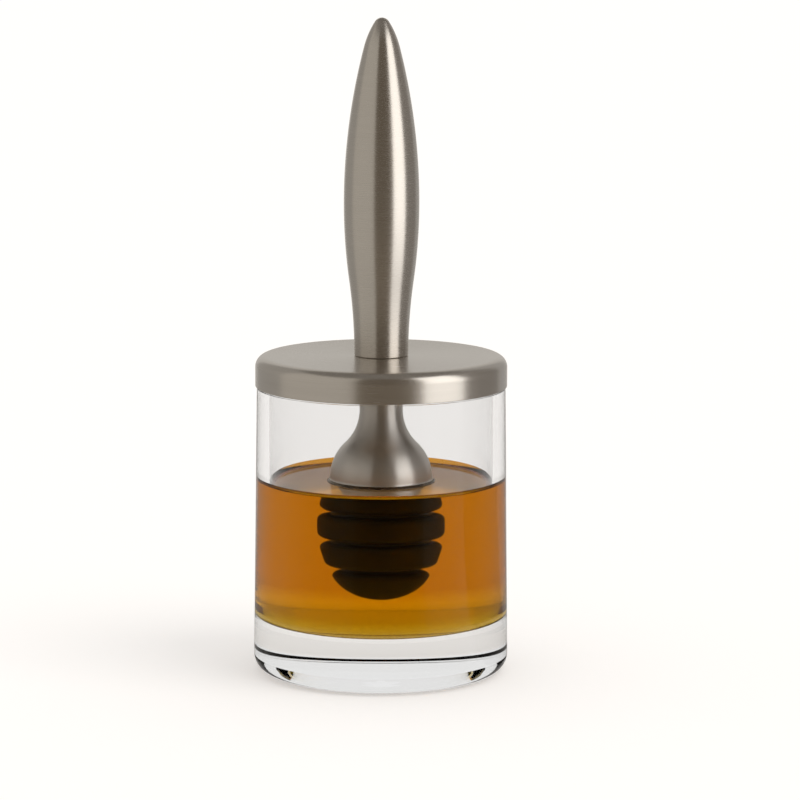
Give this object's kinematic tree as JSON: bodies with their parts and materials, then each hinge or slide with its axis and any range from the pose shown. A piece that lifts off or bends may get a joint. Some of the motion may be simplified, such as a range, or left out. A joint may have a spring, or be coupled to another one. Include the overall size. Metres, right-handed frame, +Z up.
{
  "type": "honey dispenser",
  "caption": "Heavy-based glass jar of honey with a steel lid and a tall steel handle that carries a bell and a ribbed silicone dipper head",
  "frame": {"origin": "centre of the jar's foot, on the surface that it stands on", "axes": "+Z up, along the handle; the jar, lid and dipper are round about Z"},
  "size_m": [0.0816, 0.0816, 0.2091],
  "materials": {
    "glass": "clear polished glass",
    "brushed_steel": "satin, brushed round the axis",
    "silicone": "matt black silicone",
    "honey": "clear amber syrup"
  },
  "bodies": {
    "root": {"glass_jar": "glass", "lid": "brushed_steel", "handle": "brushed_steel", "bell": "brushed_steel", "dipper_head": "silicone", "honey": "honey"}
  },
  "joints": []
}
